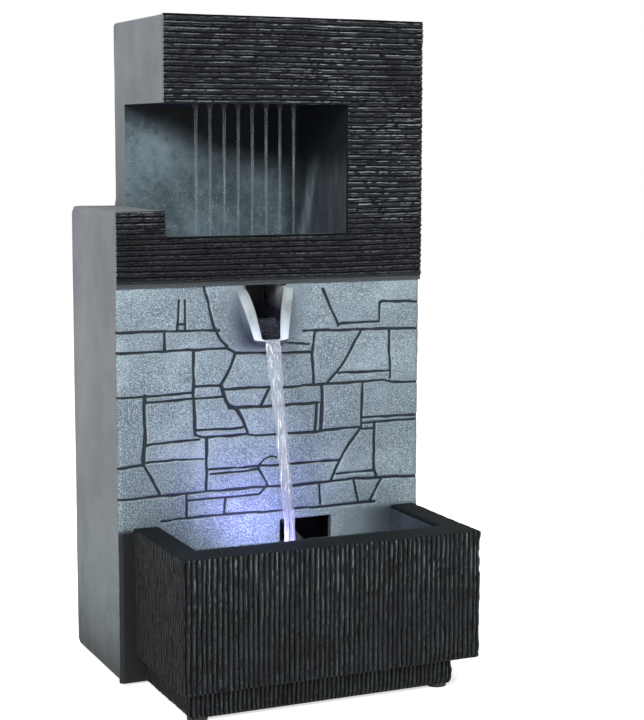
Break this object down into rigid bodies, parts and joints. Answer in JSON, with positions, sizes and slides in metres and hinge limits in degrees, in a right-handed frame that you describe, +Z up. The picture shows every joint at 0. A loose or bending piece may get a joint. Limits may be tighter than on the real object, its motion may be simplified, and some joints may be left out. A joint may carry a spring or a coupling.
{
  "type": "tabletop water fountain",
  "caption": "Tabletop fountain: a stepped tower with an open rain niche and a stone-pattern wall, whose spout pours into a ribbed, lit basin with a smooth rim.",
  "frame": {"origin": "middle of the footprint on the table", "axes": "+Z up; the basin and spout face -Y; +X to the right seen from the front"},
  "size_m": [0.2, 0.184, 0.4],
  "materials": {
    "tower_resin": "matte",
    "basin_resin": "satin",
    "spout_resin": "satin",
    "panel_plastic": "matte",
    "dark_plastic": "gloss",
    "black_plastic": "matte",
    "tray_plastic": "matte",
    "pale_plastic": "gloss",
    "steel": "satin",
    "hose_silicone": "gloss",
    "black_rubber": "matte",
    "ferrite": "satin",
    "shaft_ceramic": "polished",
    "board": "satin",
    "chip": "satin",
    "lens": "polished"
  },
  "bodies": {
    "fountain": {"tower_casting": "tower_resin", "basin_casting": "basin_resin", "spout": "spout_resin", "back_panel": "panel_plastic", "back_panel_screws": "steel", "door_hinge_pins": "steel", "rain_tray": "tray_plastic", "rain_tray_lid": "tray_plastic", "rain_nozzles": "pale_plastic", "riser_hose": "hose_silicone", "hose_clamps": "steel", "pump_body": "black_plastic", "pump_cover": "black_plastic", "pump_shaft": "shaft_ceramic", "pump_shaft_bushes": "black_rubber", "pump_outlet_nozzle": "dark_plastic", "pump_suction_cups": "black_rubber", "lamp_housing": "black_plastic", "lamp_board": "board", "lamp_chips": "chip", "lamp_lens": "lens", "lamp_seal": "black_rubber", "lamp_bezel": "dark_plastic", "lamp_suction_cup": "black_rubber", "lamp_lead_gland": "black_rubber", "pump_lead_gland": "black_rubber", "pump_lead": "black_rubber", "lamp_lead": "black_rubber", "lead_clip": "black_plastic", "power_inlet": "dark_plastic", "power_inlet_nut": "steel", "rubber_feet": "black_rubber"},
    "access_door": {"access_door": "panel_plastic"},
    "latch": {"door_latch": "dark_plastic", "latch_cam": "steel"},
    "rotor": {"pump_impeller": "pale_plastic", "pump_rotor_magnet": "ferrite"},
    "flow_dial": {"pump_flow_dial": "dark_plastic"}
  },
  "joints": [
    {"name": "access_door_hinge", "type": "hinge", "parent": "fountain", "child": "access_door", "pos_m": [-0.0319, 0.087, 0.1692], "axis": [0, 0, 1], "range_deg": [0, 100]},
    {"name": "latch_turn", "type": "hinge", "parent": "access_door", "child": "latch", "pos_m": [0.061, 0.088, 0.1692], "axis": [0, 1, 0], "range_deg": [0, 90]},
    {"name": "impeller_spin", "type": "hinge", "parent": "fountain", "child": "rotor", "pos_m": [0.07, 0.04, 0.0335], "axis": [0, 1, 0], "continuous": true},
    {"name": "flow_dial_turn", "type": "hinge", "parent": "fountain", "child": "flow_dial", "pos_m": [0.07, 0.01, 0.0335], "axis": [0, 1, 0], "range_deg": [0, 90]}
  ]
}
